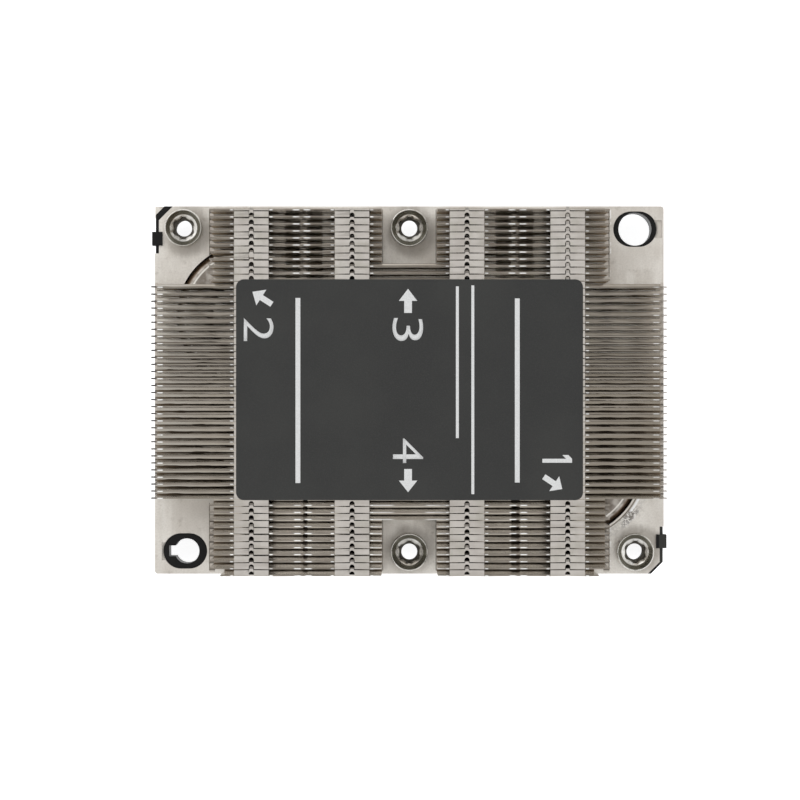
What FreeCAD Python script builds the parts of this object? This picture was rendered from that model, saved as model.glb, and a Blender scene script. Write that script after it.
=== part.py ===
import FreeCAD, Part
import math
import os

import Sketcher

# Passive heatsink for a server processor, in millimetres.
# The origin is the middle of the contact face that touches the processor.
# X runs along the fins, +X to the right. Y runs across them, +Y to the rear. +Z is up.

doc = FreeCAD.newDocument("server_heatsink")
sheet = doc.addObject("Spreadsheet::Sheet", "Sizes")

# Driving sizes, one cell each
SIZES = (
    # Base plate with its raised contact pad
    ("plate_length", 108.0),
    ("plate_depth", 78.0),
    ("plate_thickness", 4.0),
    ("plate_corner", 0.6),
    ("pad_length", 66.0),
    ("pad_depth", 50.0),
    ("pad_height", 1.0),
    ("pad_corner", 2.0),
    ("corner_cut", 3.35),
    ("ledge_size", 3.8),
    ("ledge_depth", 1.2),
    # Notches in the plate's ends for the walls of the clip
    ("notch_inset", 0.85),
    ("notch_near_inset", 10.0),
    ("notch_far_inset", 2.5),
    # Fin stack
    ("stack_top", 25.5),
    ("fin_thickness", 0.3),
    ("fin_side_margin", 0.39),
    ("long_rows", 31),
    ("medium_rows", 3),
    ("short_rows", 8),
    ("fin_end_margin", 0.5),
    ("medium_fin_inset", 12.5),
    ("nut_bay_width", 11.6),
    ("joint_gap", 0.06),
    # Interlocking tabs along the top of the fins
    ("tab_width", 7.15),
    ("inner_tab_inset", 6.1),
    ("outer_tab_inset", 8.75),
    ("tongue_width", 0.95),
    ("tongue_tip", 0.6),
    ("tongue_reach", 0.16),
    ("notch_width", 1.05),
    ("bridge_width", 0.3),
    # Heat pipes, flattened from round tube and bent into a hairpin
    ("tube_diameter", 6.0),
    ("pipe_thickness", 3.2),
    ("pipe_edge_bevel", 0.9),
    ("pipe_tip_bevel", 2.0),
    ("pipe_inner_leg_y", 4.0),
    ("pipe_outer_leg_inset", 11.8),
    ("pipe_bend_inset", 4.7),
    ("pipe_inner_tip_inset", 24.0),
    ("pipe_outer_tip_inset", 63.0),
    ("pipe_clearance", 0.1),
    # Captive nuts
    ("nut_inset_x", 6.25),
    ("nut_inset_y", 4.75),
    ("nut_head_radius", 3.92),
    ("nut_head_height", 4.5),
    ("nut_shank_radius", 2.6),
    ("nut_bore_radius", 1.65),
    ("nut_below_plate", 4.3),
    ("nut_clearance", 0.12),
    ("drive_lobes", 6),
    ("drive_lobe_radius", 2.76),
    ("drive_root_radius", 2.02),
    ("drive_tip_angle", 9),
    ("drive_depth", 3.0),
    # Retaining rings pressed on the nuts below the plate
    ("ring_flats", 6),
    ("ring_corner_radius", 3.9),
    ("ring_thickness", 0.6),
    ("ring_play", 0.2),
    ("ring_fit", 0.04),
    # Guide holes and the clip's rings in them
    ("guide_inset_x", 6.1),
    ("guide_inset_y", 4.85),
    ("guide_hole_depth", 7.5),
    ("right_guide_length", 9.2),
    ("left_guide_length", 9.3),
    ("left_guide_shift", 0.35),
    ("right_guide_bore", 7.0),
    ("left_guide_bore", 5.3),
    ("guide_recess_depth", 0.8),
    ("guide_recess_width", 3.7),
    ("right_recess_reach", 1.05),
    ("left_recess_reach", 0.3),
    ("latch_slot_length", 1.1),
    ("latch_slot_width", 2.3),
    # Processor clip
    ("clip_window_length", 76.8),
    ("clip_window_inset", 10.6),
    ("clip_end_rail", 4.6),
    ("clip_ring_clearance", 0.35),
    ("clip_drop", 4.4),
    ("clip_arm_drop", 2.6),
    ("clip_arm_root", 7.0),
    ("clip_arm_lap", 1.0),
    ("clip_foot_width", 1.7),
    ("lip_length", 10.0),
    ("lip_reach", 0.5),
    ("lip_height", 0.8),
    ("clip_wall", 0.6),
    ("clip_clearance", 0.05),
    ("guide_pad_root", 3.2),
    ("guide_pad_inset", 0.6),
    ("hook_inset", 6.9),
    ("hook_width", 2.9),
    ("hook_proud", 0.55),
    ("hook_lap", 1.65),
    ("hook_height", 0.8),
    ("strap_width", 1.2),
    ("strap_thin", 0.4),
    # Label on the fins
    ("label_length", 71.8),
    ("label_overhang", 0.27),
    ("label_thickness", 0.15),
    ("label_corner", 2.0),
)
for row, (alias, size) in enumerate(SIZES, start=1):
    sheet.set(f"A{row}", alias)
    sheet.set(f"B{row}", str(size))
    sheet.setAlias(f"B{row}", alias)
doc.recompute()

# Levels, edges and places that several pieces share
HALF_LENGTH = "Sizes.plate_length / 2"
HALF_DEPTH = "Sizes.plate_depth / 2"
PLATE_BOTTOM = "Sizes.pad_height"
PLATE_TOP = "(Sizes.pad_height + Sizes.plate_thickness)"
NOTCH_X = f"({HALF_LENGTH} - Sizes.notch_inset)"
NOTCH_NEAR = f"({HALF_DEPTH} - Sizes.notch_near_inset)"
NOTCH_FAR = f"({HALF_DEPTH} - Sizes.notch_far_inset)"
NUT_X = f"({HALF_LENGTH} - Sizes.nut_inset_x)"
NUT_Y = f"({HALF_DEPTH} - Sizes.nut_inset_y)"
GUIDE_Y = f"({HALF_DEPTH} - Sizes.guide_inset_y)"
RIGHT_GUIDE_X = f"({HALF_LENGTH} - Sizes.guide_inset_x)"
LEFT_GUIDE_X = f"(Sizes.left_guide_shift - {RIGHT_GUIDE_X})"
TOTAL_ROWS = "(Sizes.long_rows + 2 * Sizes.medium_rows + 2 * Sizes.short_rows)"
PITCH = f"((Sizes.plate_depth - 2 * Sizes.fin_side_margin) / {TOTAL_ROWS})"
CELL_DEPTH = f"({PITCH} - Sizes.joint_gap)"
ARCH_Y = f"({PITCH} + Sizes.tongue_reach)"
LONG_HALF = f"({HALF_LENGTH} - Sizes.fin_end_margin)"
MEDIUM_HALF = f"({HALF_LENGTH} - Sizes.medium_fin_inset)"
INNER_TAB_X = "(Sizes.nut_bay_width / 2 + Sizes.inner_tab_inset)"
OUTER_TAB_X = f"({MEDIUM_HALF} - Sizes.outer_tab_inset)"

# Sketcher's numbers for the X axis, which also holds the origin, the Y axis, and the points
# of an edge
X_AXIS, Y_AXIS = range(-1, -3, -1)
ORIGIN = X_AXIS
START, END, CENTRE = range(1, 4)
NORMAL = FreeCAD.Vector(0, 0, 1)

# Slack for telling which edges lie on a named plane, and which stand upright
TOUCH = 0.001
UPRIGHT = 0.999


def new_body(label):
    body = doc.addObject("PartDesign::Body", label)
    body.Label = label
    return body


def origin_feature(body, role):
    for feature in body.Origin.OriginFeatures:
        if feature.Role == role:
            return feature
    raise ValueError(role)


def new_sketch(body, name, height="0", role="XY_Plane"):
    """Sketch on one of the body's own origin planes, lifted by an expression."""
    sketch = body.newObject("Sketcher::SketchObject", name)
    sketch.AttachmentSupport = [(origin_feature(body, role), "")]
    sketch.MapMode = "FlatFace"
    if height != "0":
        sketch.setExpression(".AttachmentOffset.Base.z", height)
    return sketch


def value(expression):
    return float(sheet.evalExpression(expression.replace("Sizes.", "")))


def pin_along(sketch, kind, edge, point, expression):
    """Hold one point of an edge at an expression of the sheet, along X or Y."""
    if expression == "0":
        axis = Y_AXIS if kind == "DistanceX" else X_AXIS
        sketch.addConstraint(Sketcher.Constraint("PointOnObject", edge, point, axis))
        return
    size = value(expression)
    number = sketch.addConstraint(Sketcher.Constraint(kind, ORIGIN, START, edge, point, size))
    sketch.setExpression(f"Constraints[{number}]", expression)


def pin_point(sketch, edge, point, x, y):
    pin_along(sketch, "DistanceX", edge, point, x)
    pin_along(sketch, "DistanceY", edge, point, y)


def bind_size(sketch, kind, edge, expression):
    number = sketch.addConstraint(Sketcher.Constraint(kind, edge, value(expression)))
    sketch.setExpression(f"Constraints[{number}]", expression)


def draw_outline(sketch, corners):
    """Closed outline of straight sides, each corner a pair of expressions."""
    points = [FreeCAD.Vector(value(x), value(y), 0) for x, y in corners]
    count = len(points)
    first = sketch.GeometryCount
    for index in range(count):
        sketch.addGeometry(Part.LineSegment(points[index], points[(index + 1) % count]))
    for index in range(count):
        following = first + (index + 1) % count
        sketch.addConstraint(Sketcher.Constraint("Coincident", first + index, END, following, START))
    for index, (x, y) in enumerate(corners):
        pin_point(sketch, first + index, START, x, y)


def draw_rectangle(sketch, x_low, x_high, y_low, y_high):
    """Rectangle between four expressions, its sides held level and upright."""
    corners = ((x_low, y_low), (x_high, y_low), (x_high, y_high), (x_low, y_high))
    points = [FreeCAD.Vector(value(x), value(y), 0) for x, y in corners]
    first = sketch.GeometryCount
    for index in range(4):
        sketch.addGeometry(Part.LineSegment(points[index], points[(index + 1) % 4]))
    for index in range(4):
        following = first + (index + 1) % 4
        sketch.addConstraint(Sketcher.Constraint("Coincident", first + index, END, following, START))
        side = "Horizontal" if index % 2 == 0 else "Vertical"
        sketch.addConstraint(Sketcher.Constraint(side, first + index))
    pin_point(sketch, first, START, x_low, y_low)
    pin_point(sketch, first + 2, START, x_high, y_high)


def draw_circle(sketch, x, y, radius):
    centre = FreeCAD.Vector(value(x), value(y), 0)
    edge = sketch.addGeometry(Part.Circle(centre, NORMAL, value(radius)))
    pin_point(sketch, edge, CENTRE, x, y)
    bind_size(sketch, "Radius", edge, radius)


def draw_obround(sketch, x, y, length, depth):
    """Slot with round ends, its length along X."""
    radius = value(depth) / 2
    reach = value(length) / 2 - radius
    middle = FreeCAD.Vector(value(x), value(y), 0)
    ends = []
    for side in (1, -1):
        centre = middle + FreeCAD.Vector(side * reach, 0, 0)
        circle = Part.Circle(centre, NORMAL, radius)
        low = -side * math.pi / 2
        ends.append(sketch.addGeometry(Part.ArcOfCircle(circle, low, low + math.pi)))
        centre_x = f"{x} + {side} * ({length} - {depth}) / 2"
        pin_point(sketch, ends[-1], CENTRE, centre_x, y)
        bind_size(sketch, "Radius", ends[-1], f"{depth} / 2")
    for side in (0, 1):
        start = sketch.getPoint(ends[side], END)
        end = sketch.getPoint(ends[1 - side], START)
        line = sketch.addGeometry(Part.LineSegment(start, end))
        sketch.addConstraint(Sketcher.Constraint("Tangent", line, START, ends[side], END))
        sketch.addConstraint(Sketcher.Constraint("Tangent", line, END, ends[1 - side], START))


def pad(body, sketch, length, reverse=False):
    feature = body.newObject("PartDesign::Pad", f"{sketch.Name}_pad")
    feature.Profile = sketch
    feature.setExpression("Length", length)
    feature.Reversed = reverse
    feature.Refine = True
    return feature


def pocket(body, sketch, length):
    """Cut downwards from the sketch's plane."""
    feature = body.newObject("PartDesign::Pocket", f"{sketch.Name}_pocket")
    feature.Profile = sketch
    feature.setExpression("Length", length)
    return feature


def drill(body, sketch):
    """Cut right through the piece, both ways from the sketch's plane."""
    feature = body.newObject("PartDesign::Pocket", f"{sketch.Name}_through")
    feature.Profile = sketch
    feature.Type = "ThroughAll"
    feature.Midplane = True
    return feature


def dress_edges(body, name, keep, kind, measure, size):
    """Dress the edges of the body's last feature that keep() picks."""
    doc.recompute()
    base = body.Tip
    names = [f"Edge{number}" for number, edge in enumerate(base.Shape.Edges, start=1) if keep(edge)]
    feature = body.newObject(kind, name)
    feature.Base = (base, names)
    feature.setExpression(measure, size)
    return feature


def round_edges(body, name, keep, radius):
    return dress_edges(body, name, keep, "PartDesign::Fillet", "Radius", radius)


def bevel_edges(body, name, keep, size):
    return dress_edges(body, name, keep, "PartDesign::Chamfer", "Size", size)


def is_upright(edge):
    """True for a straight vertical edge."""
    if edge.Curve.TypeId != "Part::GeomLine":
        return False
    return abs(edge.tangentAt(edge.FirstParameter).z) > UPRIGHT


def copy_of(pattern, label, x="0", y="0"):
    """Body that repeats a pattern body in a place of its own."""
    body = new_body(label)
    body.BaseFeature = pattern
    body.setExpression(".Placement.Base.x", x)
    body.setExpression(".Placement.Base.y", y)
    return body


pieces = []

# Base plate
# Copper, milled flat, with a raised contact pad below and nickel plating all over.
plate = new_body("base_plate")
plate_outline = new_sketch(plate, "plate_outline", PLATE_BOTTOM)
draw_outline(plate_outline, (
    (f"-{HALF_LENGTH}", f"-{HALF_DEPTH}"),
    (f"{HALF_LENGTH} - Sizes.corner_cut", f"-{HALF_DEPTH}"),
    (NOTCH_X, f"-{HALF_DEPTH} + Sizes.corner_cut - Sizes.notch_inset"),
    (NOTCH_X, f"-{NOTCH_NEAR}"),
    (HALF_LENGTH, f"-{NOTCH_NEAR}"),
    (HALF_LENGTH, HALF_DEPTH),
    (f"-{HALF_LENGTH}", HALF_DEPTH),
    (f"-{HALF_LENGTH}", NOTCH_FAR),
    (f"-{NOTCH_X}", NOTCH_FAR),
    (f"-{NOTCH_X}", NOTCH_NEAR),
    (f"-{HALF_LENGTH}", NOTCH_NEAR),
))
pad(plate, plate_outline, "Sizes.plate_thickness")


def is_plate_corner(edge):
    """True for the two corners that keep their full width, rear right and front left."""
    middle = edge.BoundBox.Center
    reach = value(HALF_LENGTH) + value(HALF_DEPTH)
    return is_upright(edge) and middle.x * middle.y > 0 and abs(middle.x + middle.y) > reach - TOUCH


round_edges(plate, "plate_corners", is_plate_corner, "Sizes.plate_corner")
contact_pad = new_sketch(plate, "contact_pad")
draw_rectangle(contact_pad, "-Sizes.pad_length / 2", "Sizes.pad_length / 2",
               "-Sizes.pad_depth / 2", "Sizes.pad_depth / 2")
pad(plate, contact_pad, PLATE_BOTTOM)
round_edges(plate, "pad_corners", lambda edge: is_upright(edge)
            and edge.BoundBox.ZMax < value(PLATE_BOTTOM) + TOUCH, "Sizes.pad_corner")

# The ledge across the rear left corner seats the clip's strap
ledge = new_sketch(plate, "strap_ledge", PLATE_TOP)
draw_outline(ledge, (
    (f"-{HALF_LENGTH}", f"{HALF_DEPTH} - Sizes.ledge_size"),
    (f"-{HALF_LENGTH} + Sizes.ledge_size", HALF_DEPTH),
    (f"-{HALF_LENGTH}", HALF_DEPTH),
))
pocket(plate, ledge, "Sizes.ledge_depth")

# Four clearance holes for the captive nuts
NUT_PLACES = (
    ("rear_left", f"-{NUT_X}", NUT_Y),
    ("rear", "0", NUT_Y),
    ("front", "0", f"-{NUT_Y}"),
    ("front_right", NUT_X, f"-{NUT_Y}"),
)
nut_holes = new_sketch(plate, "nut_holes", PLATE_TOP)
for name, x, y in NUT_PLACES:
    draw_circle(nut_holes, x, y, "(Sizes.nut_shank_radius + Sizes.nut_clearance)")
drill(plate, nut_holes)

# Two long guide holes, rear right and front left, each with a shallow recess beside it
guide_holes = new_sketch(plate, "guide_holes", PLATE_TOP)
draw_obround(guide_holes, RIGHT_GUIDE_X, GUIDE_Y,
             "Sizes.right_guide_length", "Sizes.guide_hole_depth")
draw_obround(guide_holes, LEFT_GUIDE_X, f"-{GUIDE_Y}",
             "Sizes.left_guide_length", "Sizes.guide_hole_depth")
drill(plate, guide_holes)
guide_recesses = new_sketch(plate, "guide_recesses", PLATE_TOP)
for side, x, length, reach in (
    (1, RIGHT_GUIDE_X, "Sizes.right_guide_length", "Sizes.right_recess_reach"),
    (-1, LEFT_GUIDE_X, "Sizes.left_guide_length", "Sizes.left_recess_reach"),
):
    y_edges = [f"{side} * ({GUIDE_Y} {sign} Sizes.guide_recess_width / 2)" for sign in "-+"]
    draw_rectangle(guide_recesses, x, f"{x} + {side} * ({length} / 2 + {reach})", *y_edges)
pocket(plate, guide_recesses, "Sizes.guide_recess_depth")


# Heat pipes and their grooves
# Copper tube, flattened and bent into a hairpin. One opens to the right, the other to the left.
PIPE_WIDTH = "(Sizes.pipe_thickness + pi * (Sizes.tube_diameter - Sizes.pipe_thickness) / 2)"
BEND_RADIUS = f"(({HALF_DEPTH} - Sizes.pipe_outer_leg_inset - Sizes.pipe_inner_leg_y) / 2)"
BEND_X = f"({HALF_LENGTH} - Sizes.pipe_bend_inset - {PIPE_WIDTH} / 2 - {BEND_RADIUS})"
BEND_Y = f"(Sizes.pipe_inner_leg_y + {BEND_RADIUS})"


def draw_hairpin(sketch, side, width, slack):
    """Outline of a hairpin with its bend at the right for side 1, at the left for side -1."""
    opposite = -side
    centre_x = f"{side} * {BEND_X}"
    centre_y = f"{opposite} * {BEND_Y}"
    centre = FreeCAD.Vector(value(centre_x), value(centre_y), 0)
    bend_start = math.radians(-90 if side > 0 else 90)
    rims = []
    for sign in "+-":
        radius = f"({BEND_RADIUS} {sign} {width} / 2)"
        circle = Part.Circle(centre, NORMAL, value(radius))
        arc = sketch.addGeometry(Part.ArcOfCircle(circle, bend_start, bend_start + math.pi))
        pin_point(sketch, arc, CENTRE, centre_x, centre_y)
        bind_size(sketch, "Radius", arc, radius)
        rims.append(arc)
    legs = ((END, "Sizes.pipe_inner_tip_inset"), (START, "Sizes.pipe_outer_tip_inset"))
    for arc_end, tip_inset in legs:
        cap_x = f"{opposite} * ({HALF_LENGTH} - {tip_inset} + {slack})"
        sides = []
        for arc in rims:
            root = sketch.getPoint(arc, arc_end)
            tip = FreeCAD.Vector(value(cap_x), root.y, 0)
            line = sketch.addGeometry(Part.LineSegment(root, tip))
            sketch.addConstraint(Sketcher.Constraint("Tangent", line, START, arc, arc_end))
            sketch.addConstraint(Sketcher.Constraint("Horizontal", line))
            sides.append(line)
        tips = [sketch.getPoint(line, END) for line in sides]
        cap = sketch.addGeometry(Part.LineSegment(*tips))
        sketch.addConstraint(Sketcher.Constraint("Coincident", cap, START, sides[0], END))
        sketch.addConstraint(Sketcher.Constraint("Coincident", cap, END, sides[1], END))
        sketch.addConstraint(Sketcher.Constraint("Vertical", cap))
        pin_along(sketch, "DistanceX", cap, START, cap_x)


grooves = new_sketch(plate, "pipe_grooves", PLATE_TOP)
for side in (-1, 1):
    draw_hairpin(grooves, side, f"({PIPE_WIDTH} + 2 * Sizes.pipe_clearance)", "Sizes.pipe_clearance")
pocket(plate, grooves, "Sizes.pipe_thickness + Sizes.pipe_clearance")
pieces.append(plate)

for label, side in (("heat_pipe_left", -1), ("heat_pipe_right", 1)):
    pipe = new_body(label)
    run = new_sketch(pipe, f"{label}_run", f"{PLATE_TOP} - Sizes.pipe_thickness")
    draw_hairpin(run, side, PIPE_WIDTH, "0")
    pad(pipe, run, "Sizes.pipe_thickness")
    bevel_edges(pipe, f"{label}_tips", is_upright, "Sizes.pipe_tip_bevel")
    bevel_edges(pipe, f"{label}_sides", lambda edge: edge.BoundBox.ZMin > value(PLATE_TOP) - TOUCH,
                "Sizes.pipe_edge_bevel")
    pieces.append(pipe)


# Fins
# Each is one folded sheet: an upright web, a foot that is soldered to the plate, and tabs
# along the top. A tab reaches back to the next web, and its tongue enters that fin's notch.
def draw_tab(sketch, x):
    """Tab with the tongue in the middle of its far edge."""
    corners = [(f"{x} - Sizes.tab_width / 2", "0"), (f"{x} + Sizes.tab_width / 2", "0")]
    corners += [(f"{x} + Sizes.tab_width / 2", CELL_DEPTH), (f"{x} + Sizes.tongue_width / 2", CELL_DEPTH)]
    corners += [(f"{x} + Sizes.tongue_tip / 2", ARCH_Y), (f"{x} - Sizes.tongue_tip / 2", ARCH_Y)]
    corners += [(f"{x} - Sizes.tongue_width / 2", CELL_DEPTH), (f"{x} - Sizes.tab_width / 2", CELL_DEPTH)]
    draw_outline(sketch, corners)


def draw_notch(sketch, x):
    """Notch that opens at the tab's bend and leaves a narrow bridge at the tongue's tip."""
    draw_rectangle(sketch, f"{x} - Sizes.notch_width / 2", f"{x} + Sizes.notch_width / 2",
                   "-Sizes.fin_thickness", f"{CELL_DEPTH} - Sizes.bridge_width")


def fin_pattern(name, x_low, x_high, columns, tabs="tongued", notched=True):
    """One fin with its web's front face on the X axis. Its tabs are tongued, plain or none."""
    body = new_body(name)
    web = new_sketch(body, f"{name}_web", role="XZ_Plane")
    draw_rectangle(web, x_low, x_high, PLATE_TOP, "Sizes.stack_top")
    pad(body, web, "Sizes.fin_thickness", reverse=True)
    foot = new_sketch(body, f"{name}_foot", PLATE_TOP)
    draw_rectangle(foot, x_low, x_high, "0", CELL_DEPTH)
    pad(body, foot, "Sizes.fin_thickness")
    if tabs != "none":
        top = new_sketch(body, f"{name}_tabs", "Sizes.stack_top - Sizes.fin_thickness")
        for x in columns:
            if tabs == "tongued":
                draw_tab(top, x)
            else:
                draw_rectangle(top, f"{x} - Sizes.tab_width / 2", f"{x} + Sizes.tab_width / 2",
                               "0", CELL_DEPTH)
        pad(body, top, "Sizes.fin_thickness")
    if notched:
        notches = new_sketch(body, f"{name}_notches", "Sizes.stack_top")
        for x in columns:
            draw_notch(notches, x)
        pocket(body, notches, "Sizes.fin_thickness")
    return body


def row_place(row):
    """Where the front face of a row's webs stands, counted from the rear."""
    return f"{PITCH} * ({TOTAL_ROWS} / 2 - {row + 1})"


ALL_COLUMNS = (f"-{OUTER_TAB_X}", f"-{INNER_TAB_X}", INNER_TAB_X, OUTER_TAB_X)
# The label hides the long fins' tabs, which stay plain. Only the front one meets tongues.
long_pattern = fin_pattern("fin_long_pattern", f"-{LONG_HALF}", LONG_HALF, ALL_COLUMNS,
                           tabs="plain", notched=False)
front_pattern = fin_pattern("fin_front_pattern", f"-{LONG_HALF}", LONG_HALF, ALL_COLUMNS,
                            tabs="plain")
medium_pattern = fin_pattern("fin_medium_pattern", f"-{MEDIUM_HALF}", MEDIUM_HALF, ALL_COLUMNS)
short_rows = int(sheet.short_rows)
medium_rows = int(sheet.medium_rows)
long_rows = int(sheet.long_rows)

# Rows from the rear to the front: short, medium, long, medium, short
first_medium = short_rows
first_long = first_medium + medium_rows
second_medium = first_long + long_rows
second_short = second_medium + medium_rows
for number in range(long_rows):
    place = row_place(first_long + number)
    pattern = front_pattern if number == long_rows - 1 else long_pattern
    pieces.append(copy_of(pattern, f"fin_long_{number + 1:02d}", y=place))
for end, first_row in (("rear", first_medium), ("front", second_medium)):
    for number in range(medium_rows):
        place = row_place(first_row + number)
        pieces.append(copy_of(medium_pattern, f"fin_medium_{end}_{number + 1}", y=place))

# Short fins stand either side of the bays for the middle nuts
for hand, sign in (("left", "-"), ("right", "")):
    near = f"{sign}Sizes.nut_bay_width / 2"
    far = f"{sign}{MEDIUM_HALF}"
    columns = (f"{sign}{INNER_TAB_X}", f"{sign}{OUTER_TAB_X}")
    tabbed = fin_pattern(f"fin_short_{hand}_pattern", near, far, columns)
    last = fin_pattern(f"fin_last_{hand}_pattern", near, far, columns, tabs="none")
    for end, first_row in (("rear", 0), ("front", second_short)):
        fins = []
        for number in range(short_rows):
            row = first_row + number
            pattern = last if row == 0 else tabbed
            fins.append(copy_of(pattern, f"fin_{end}_{hand}_row_{number + 1}", y=row_place(row)))
        block = doc.addObject("Part::Compound", f"short_fins_{end}_{hand}")
        block.Label = f"short_fins_{end}_{hand}"
        block.Links = fins
        pieces.append(block)

# Label
# A printed sheet stuck on the tabs of the long fins.
label = new_body("label")
LABEL_HALF_DEPTH = f"(Sizes.long_rows * {PITCH} / 2 + Sizes.label_overhang)"
label_outline = new_sketch(label, "label_outline", "Sizes.stack_top")
draw_rectangle(label_outline, "-Sizes.label_length / 2", "Sizes.label_length / 2",
               f"-{LABEL_HALF_DEPTH}", LABEL_HALF_DEPTH)
pad(label, label_outline, "Sizes.label_thickness")
round_edges(label, "label_corners", is_upright, "Sizes.label_corner")
pieces.append(label)

# Captive nuts
# Each turns freely in the plate: a round head with a six-lobe recess, and a shank with an
# inside thread that reaches out below the plate.
HEAD_TOP = f"({PLATE_TOP} + Sizes.nut_head_height)"
NUT_BOTTOM = f"({PLATE_BOTTOM} - Sizes.nut_below_plate)"
nut_pattern = new_body("captive_nut_pattern")
section = new_sketch(nut_pattern, "nut_section", role="XZ_Plane")
draw_outline(section, (
    ("Sizes.nut_bore_radius", NUT_BOTTOM),
    ("Sizes.nut_shank_radius", NUT_BOTTOM),
    ("Sizes.nut_shank_radius", PLATE_TOP),
    ("Sizes.nut_head_radius", PLATE_TOP),
    ("Sizes.nut_head_radius", HEAD_TOP),
    ("Sizes.nut_bore_radius", HEAD_TOP),
))
turned = nut_pattern.newObject("PartDesign::Revolution", "nut_turning")
turned.Profile = section
turned.ReferenceAxis = (section, ["V_Axis"])
turned.Angle = 360
drive = new_sketch(nut_pattern, "drive_recess", HEAD_TOP)
drive_corners = []
for lobe in range(int(sheet.drive_lobes)):
    middle = f"{lobe} * 360 / Sizes.drive_lobes"
    for radius, angle in (
        ("Sizes.drive_lobe_radius", f"({middle} - Sizes.drive_tip_angle)"),
        ("Sizes.drive_lobe_radius", f"({middle} + Sizes.drive_tip_angle)"),
        ("Sizes.drive_root_radius", f"({middle} + 180 / Sizes.drive_lobes)"),
    ):
        drive_corners.append((f"{radius} * cos({angle})", f"{radius} * sin({angle})"))
draw_outline(drive, drive_corners)
pocket(nut_pattern, drive, "Sizes.drive_depth")

# Retaining ring with six flats, pressed on the shank
ring_pattern = new_body("retaining_ring_pattern")
RING_BOTTOM = f"({PLATE_BOTTOM} - Sizes.ring_play - Sizes.ring_thickness)"
ring_outline = new_sketch(ring_pattern, "ring_outline", RING_BOTTOM)
draw_outline(ring_outline, [
    (f"Sizes.ring_corner_radius * cos({corner} * 360 / Sizes.ring_flats)",
     f"Sizes.ring_corner_radius * sin({corner} * 360 / Sizes.ring_flats)")
    for corner in range(int(sheet.ring_flats))
])
draw_circle(ring_outline, "0", "0", "(Sizes.nut_shank_radius + Sizes.ring_fit)")
pad(ring_pattern, ring_outline, "Sizes.ring_thickness")
for name, x, y in NUT_PLACES:
    pieces.append(copy_of(nut_pattern, f"captive_nut_{name}", x, y))
    pieces.append(copy_of(ring_pattern, f"retaining_ring_{name}", x, y))

# Processor clip
# One moulding: a frame that holds the processor under the contact pad, two arms that hook
# over the plate's ends, straps round two corners, and a ring in each guide hole.
clip = new_body("processor_clip")
WINDOW_X = "Sizes.clip_window_length / 2"
WINDOW_Y = f"({HALF_DEPTH} - Sizes.clip_window_inset)"
FRAME_X = f"({WINDOW_X} + Sizes.clip_end_rail)"
FRAME_Y = f"({NUT_Y} - Sizes.ring_corner_radius - Sizes.clip_ring_clearance)"
WALL_IN = f"({NOTCH_X} + Sizes.clip_clearance)"
WALL_OUT = f"({WALL_IN} + Sizes.clip_wall)"
WALL_NEAR = f"({NOTCH_NEAR} + Sizes.clip_clearance)"
WALL_FAR = f"({NOTCH_FAR} - Sizes.clip_clearance)"
ARM_RISE = f"Sizes.clip_arm_drop + {PLATE_BOTTOM}"
frame = new_sketch(clip, "clip_frame", "-Sizes.clip_drop")
draw_rectangle(frame, f"-{FRAME_X}", FRAME_X, f"-{FRAME_Y}", FRAME_Y)
draw_rectangle(frame, f"-{WINDOW_X}", WINDOW_X, f"-{WINDOW_Y}", WINDOW_Y)
pad(clip, frame, f"Sizes.clip_drop + {PLATE_BOTTOM}")

# Lips in the window that snap under the processor's edge
lips = new_sketch(clip, "clip_lips", "-Sizes.clip_drop")
for side in (-1, 1):
    draw_rectangle(lips, "-Sizes.lip_length / 2", "Sizes.lip_length / 2",
                   f"{side} * ({WINDOW_Y} - Sizes.lip_reach)",
                   f"{side} * ({WINDOW_Y} + {FRAME_Y}) / 2")
pad(clip, lips, "Sizes.lip_height")

# Arms under the plate that reach the two notches
arms = new_sketch(clip, "clip_arms", "-Sizes.clip_arm_drop")
for side in (-1, 1):
    draw_rectangle(arms, f"{side} * ({WINDOW_X} + Sizes.clip_end_rail / 2)", f"{side} * {WALL_OUT}",
                   f"{-side} * ({FRAME_Y} - Sizes.clip_arm_root)",
                   f"{-side} * ({NOTCH_NEAR} + Sizes.clip_arm_lap)")
pad(clip, arms, ARM_RISE)
feet = new_sketch(clip, "clip_feet", "-Sizes.clip_arm_drop")
for side in (-1, 1):
    draw_rectangle(feet, f"{side} * ({WALL_OUT} - Sizes.clip_foot_width)", f"{side} * {WALL_OUT}",
                   f"{-side} * {NOTCH_NEAR}", f"{-side} * {WALL_FAR}")
pad(clip, feet, ARM_RISE)

# Walls that stand in the notches, and the hooks on them that lap over the plate
walls = new_sketch(clip, "clip_walls", "-Sizes.clip_arm_drop")
for side in (-1, 1):
    draw_rectangle(walls, f"{side} * {WALL_IN}", f"{side} * {WALL_OUT}",
                   f"{-side} * {WALL_NEAR}", f"{-side} * {WALL_FAR}")
pad(clip, walls, f"Sizes.clip_arm_drop + {PLATE_TOP}")
HOOK_SPANS = [f"({HALF_DEPTH} - Sizes.hook_inset {sign} Sizes.hook_width / 2)" for sign in "-+"]
for name, inner_x, bottom, rise in (
    ("clip_hook_stems", WALL_IN, PLATE_BOTTOM, "Sizes.plate_thickness + Sizes.hook_height"),
    ("clip_hooks", f"({HALF_LENGTH} - Sizes.hook_lap)", PLATE_TOP, "Sizes.hook_height"),
):
    hooks = new_sketch(clip, name, bottom)
    for side in (-1, 1):
        draw_rectangle(hooks, f"{side} * {inner_x}", f"{side} * ({HALF_LENGTH} + Sizes.hook_proud)",
                       *[f"{-side} * {span}" for span in HOOK_SPANS])
    pad(clip, hooks, rise)


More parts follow.
